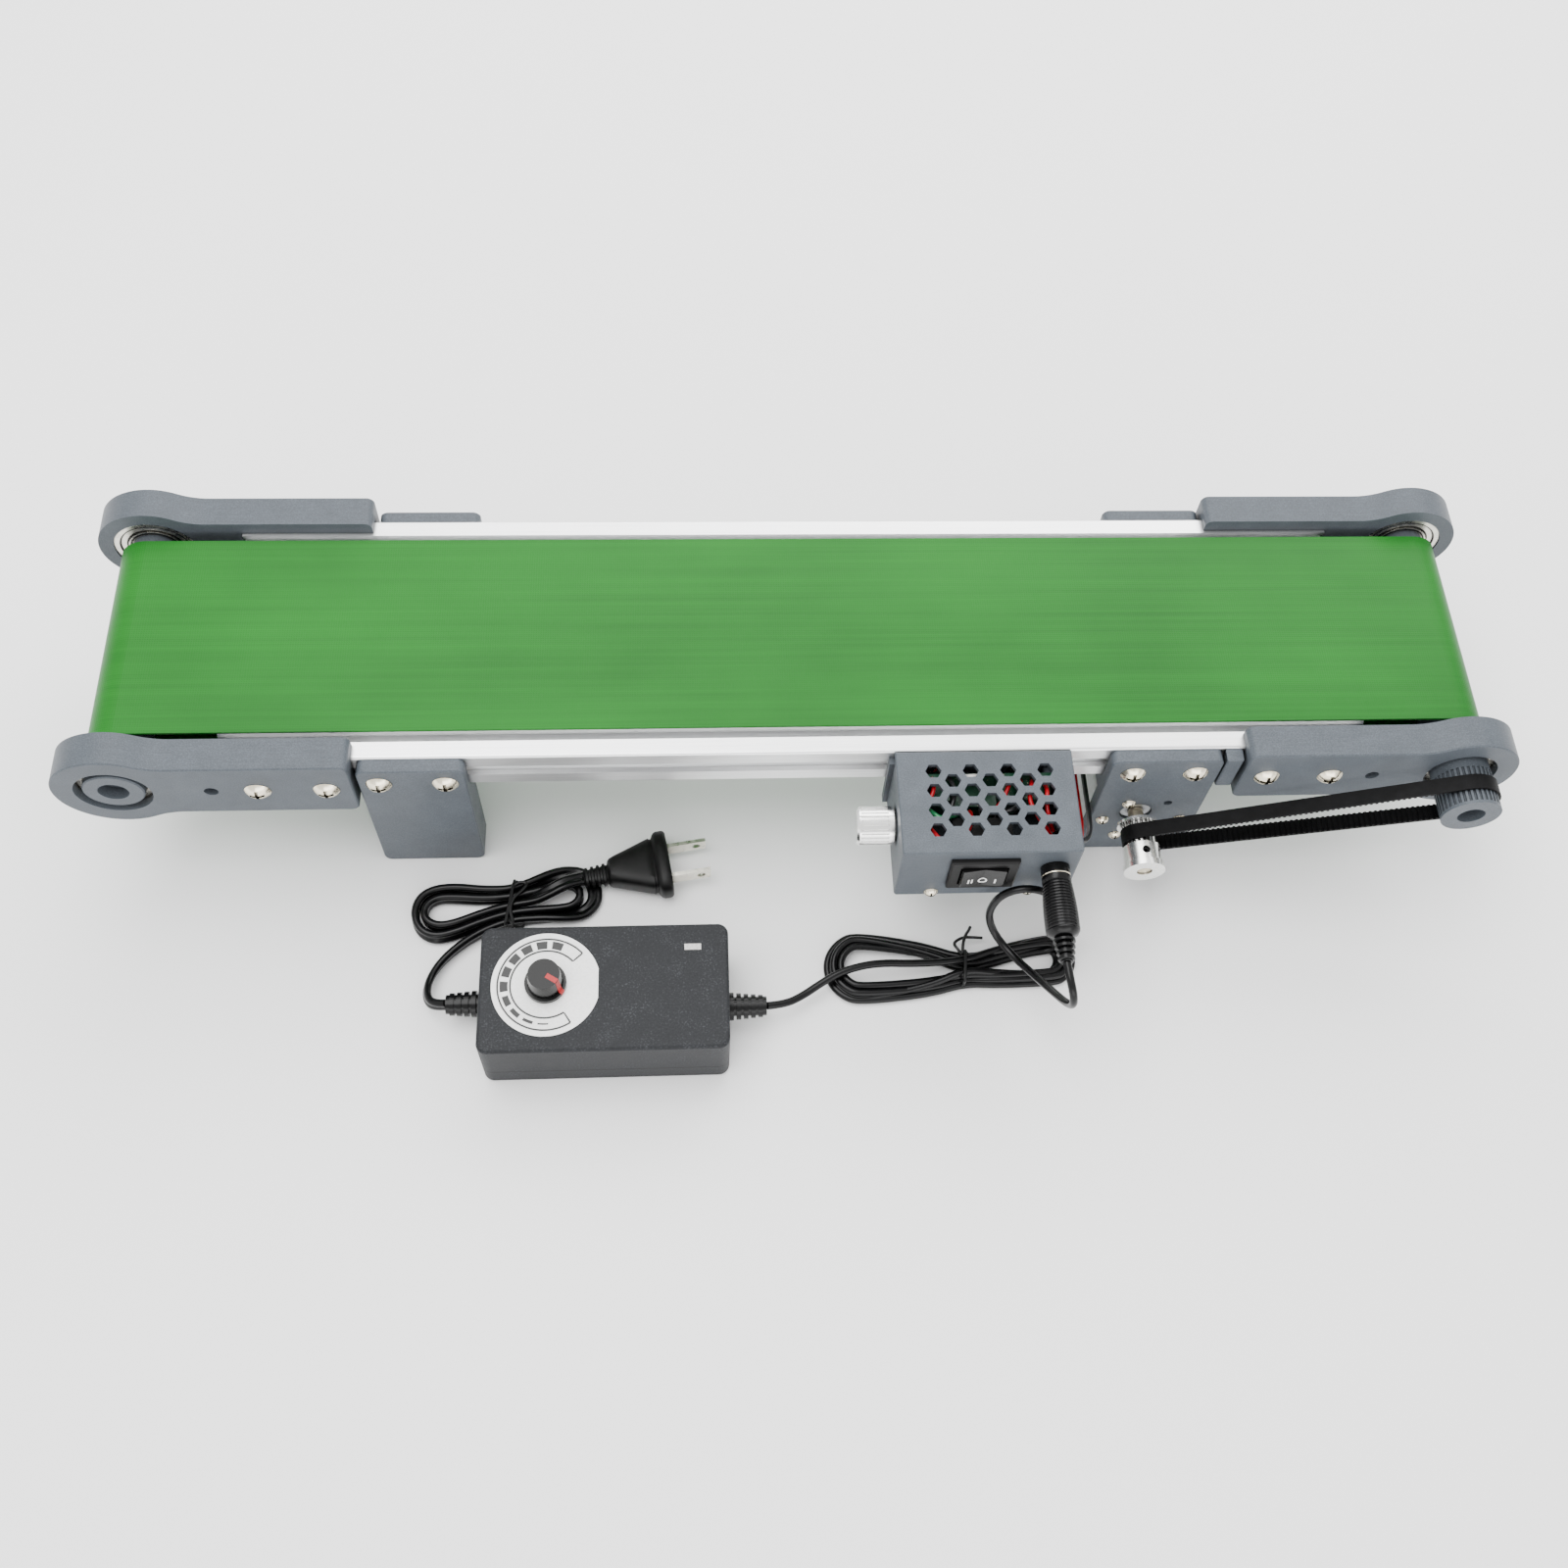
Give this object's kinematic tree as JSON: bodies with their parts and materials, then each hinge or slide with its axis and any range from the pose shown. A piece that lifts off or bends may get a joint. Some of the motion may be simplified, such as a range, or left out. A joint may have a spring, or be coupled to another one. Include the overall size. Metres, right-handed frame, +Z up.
{
  "type": "belt conveyor section",
  "caption": "Desktop belt conveyor section: slotted aluminium rails, flat green belt over end rollers, geared motor with toothed belt drive, speed box and mains adapter.",
  "frame": {"origin": "on the floor, below the middle of the whole object's box; the belt's middle line is 43.55 mm towards +Y", "axes": "+X along the belt towards the drive end, +Y away from the side with the motor, control box and adapter, +Z up"},
  "size_m": [0.5434, 0.2126, 0.0852],
  "materials": {
    "rail": "clear anodised extrusion, fine lengthwise drawing lines",
    "bed": "rolled sheet, satin",
    "belt": "matt green conveyor belt with a faint weave",
    "print": "slate grey printed plastic with fine layer lines",
    "steel": "ground bearing steel",
    "timing": "black toothed rubber belt",
    "pulley": "turned aluminium",
    "black_steel": "black oxide steel",
    "gearbox": "zinc plated pressed steel",
    "can": "plated steel can",
    "leads": "insulated wire, one red and one black",
    "screw": "nickel plated steel",
    "black": "black moulded plastic, fine texture",
    "black_gloss": "black moulded plastic, satin gloss",
    "board": "green solder mask",
    "chips": "moulded component bodies",
    "knob": "bright plated knob with fine flutes",
    "cord": "black flexible cord and its mouldings",
    "brass_plated": "nickel plated brass blades",
    "tie": "black twist tie",
    "dial": "printed white label",
    "lamp": "clear lamp window"
  },
  "bodies": {
    "conveyor_frame": {"front_rail": "rail", "back_rail": "rail", "bed_plate": "bed", "conveyor_belt": "belt", "front_left_bracket": "print", "front_right_bracket": "print", "back_left_bracket": "print", "back_right_bracket": "print", "front_left_foot": "print", "back_left_foot": "print", "back_right_foot": "print", "motor_plate": "print", "rail_spacer": "print", "bearing_outer_rings": "steel", "bearing_balls": "steel", "bearing_shields": "steel", "timing_belt": "timing", "motor_gearbox": "gearbox", "motor_can": "can", "motor_leads": "leads", "m5_screws": "screw", "m3_screws": "screw", "slot_nuts": "screw", "control_box": "black", "control_box_plate": "print", "control_board": "board", "board_parts": "chips", "pot_body": "can", "switch_body": "black", "dc_jack": "black_gloss", "dc_plug": "cord", "dc_cord_lead": "cord", "dc_cord_hank": "cord", "dc_cord_loop": "cord", "ac_cord_lead": "cord", "ac_cord_hank": "cord", "ac_plug": "cord", "ac_plug_blades": "brass_plated", "cord_ties": "tie", "adapter_base": "black", "adapter_top": "black", "adapter_board": "board", "adapter_dial": "dial", "adapter_lamp": "lamp", "adapter_strain_reliefs": "cord"},
    "drive_roller": {"drive_drum": "print", "drive_axle": "steel", "drive_collar": "print", "drive_pulley": "print", "drive_inner_rings": "steel"},
    "tail_roller": {"tail_drum": "print", "tail_axle": "steel", "tail_collars": "print", "tail_inner_rings": "steel"},
    "motor_output": {"motor_shaft": "steel", "motor_pulley": "pulley", "motor_set_screw": "black_steel"},
    "speed_knob_body": {"speed_knob": "knob"},
    "switch_rocker_body": {"switch_rocker": "black_gloss"},
    "adapter_knob_body": {"adapter_knob": "black"}
  },
  "joints": [
    {"name": "drive_roller_spin", "type": "hinge", "parent": "conveyor_frame", "child": "drive_roller", "pos_m": [0.25, 0.04355, 0.0635], "axis": [0, 1, 0], "continuous": true},
    {"name": "tail_roller_spin", "type": "hinge", "parent": "conveyor_frame", "child": "tail_roller", "pos_m": [-0.25, 0.04355, 0.0635], "axis": [0, 1, 0], "continuous": true},
    {"name": "motor_output_spin", "type": "hinge", "parent": "conveyor_frame", "child": "motor_output", "pos_m": [0.1314, -0.01, 0.03186], "axis": [0, 1, 0], "continuous": true},
    {"name": "speed_knob_turn", "type": "hinge", "parent": "conveyor_frame", "child": "speed_knob_body", "pos_m": [0.0327, -0.03195, 0.058], "axis": [-1, 0, 0], "range_deg": [-150, 150]},
    {"name": "switch_rocker_tilt", "type": "hinge", "parent": "conveyor_frame", "child": "switch_rocker_body", "pos_m": [0.0635, -0.05135, 0.0585], "axis": [0, 0, 1], "range_deg": [-10, 10]},
    {"name": "adapter_knob_turn", "type": "hinge", "parent": "conveyor_frame", "child": "adapter_knob_body", "pos_m": [-0.096, -0.08095, 0.0335], "axis": [0, 0, 1], "range_deg": [-120, 120]}
  ],
  "couplings": [
    {"joint": "tail_roller_spin", "follows": "drive_roller_spin", "ratio": 1},
    {"joint": "motor_output_spin", "follows": "drive_roller_spin", "ratio": 1.8}
  ]
}
